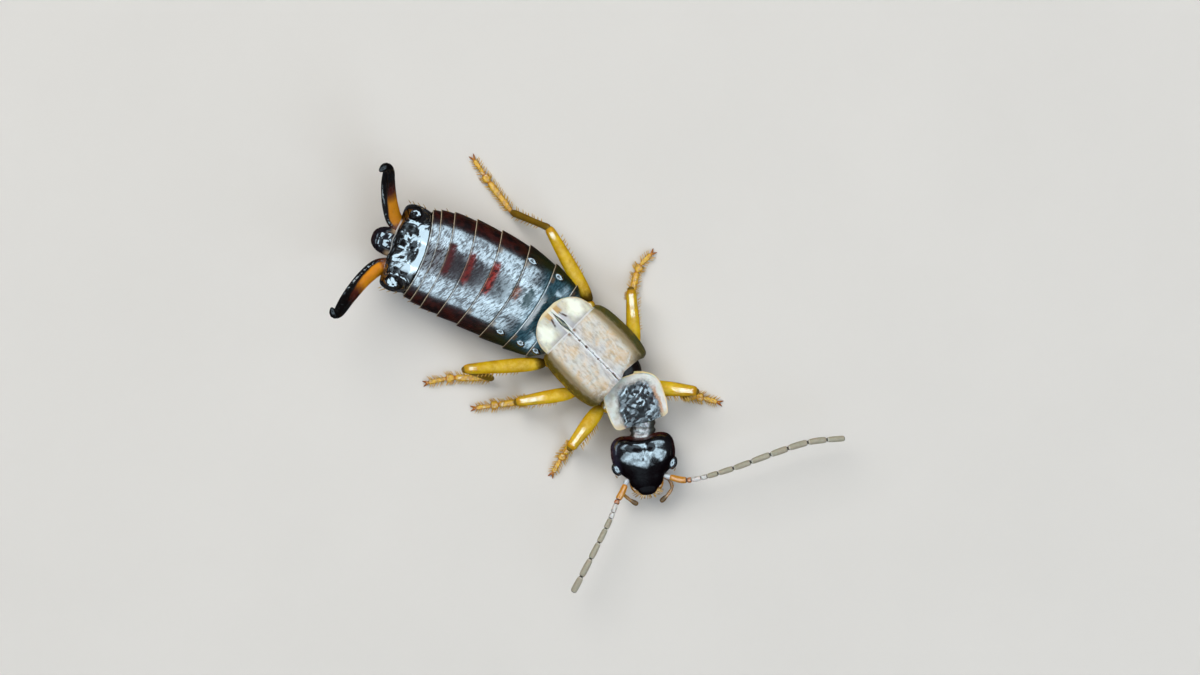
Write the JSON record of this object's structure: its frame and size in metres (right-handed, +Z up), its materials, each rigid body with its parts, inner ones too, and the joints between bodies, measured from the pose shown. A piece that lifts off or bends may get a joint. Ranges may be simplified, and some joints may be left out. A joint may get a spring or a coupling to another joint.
{
  "type": "earwig",
  "caption": "Still life-size male two-spotted earwig standing on six feet, body bent in a slight curve, long feelers ahead and spread tail forceps raised behind.",
  "frame": {"origin": "on the floor under the feet, at the centre of the model's box", "axes": "+Z up, -Y towards the head, +X towards the animal's left side, +Y along its greatest length"},
  "size_m": [0.0102, 0.0176, 0.0042],
  "materials": {
    "gloss_black": "glossy hard cuticle, black with a red-brown rim",
    "plates": "glossy finely pitted cuticle, black to dark red-brown",
    "eye": "glossy faceted compound eye, grey-blue",
    "neck_skin": "dull greyish-white membrane",
    "shield": "glossy, black in the middle with translucent cream borders",
    "wing_case": "silky beige leathery wing case with golden-brown mottling",
    "wing_pack": "cream-white stiff wing tip with yellow spots",
    "forceps": "glossy, amber at the root and dark red-brown to black at the tip",
    "leg": "glossy ochre to amber yellow with fine bristles",
    "feeler": "dull greenish grey with thin dark joints",
    "palp": "amber-brown with dark ends"
  },
  "bodies": {
    "root": {"abdomen": "plates", "antenna_left": "feeler", "antenna_right": "feeler", "eye_left": "eye", "eye_right": "eye", "forceps_left": "forceps", "forceps_right": "forceps", "head": "gloss_black", "last_tergite": "gloss_black", "leg_front_left": "leg", "leg_front_right": "leg", "leg_hind_left": "leg", "leg_hind_right": "leg", "leg_middle_left": "leg", "leg_middle_right": "leg", "neck": "neck_skin", "palp_left": "palp", "palp_right": "palp", "pronotum": "shield", "prothorax": "plates", "pygidium": "plates", "thorax": "plates", "wing_case_left": "wing_case", "wing_case_right": "wing_case", "wing_pack_left": "wing_pack", "wing_pack_right": "wing_pack"}
  },
  "joints": []
}
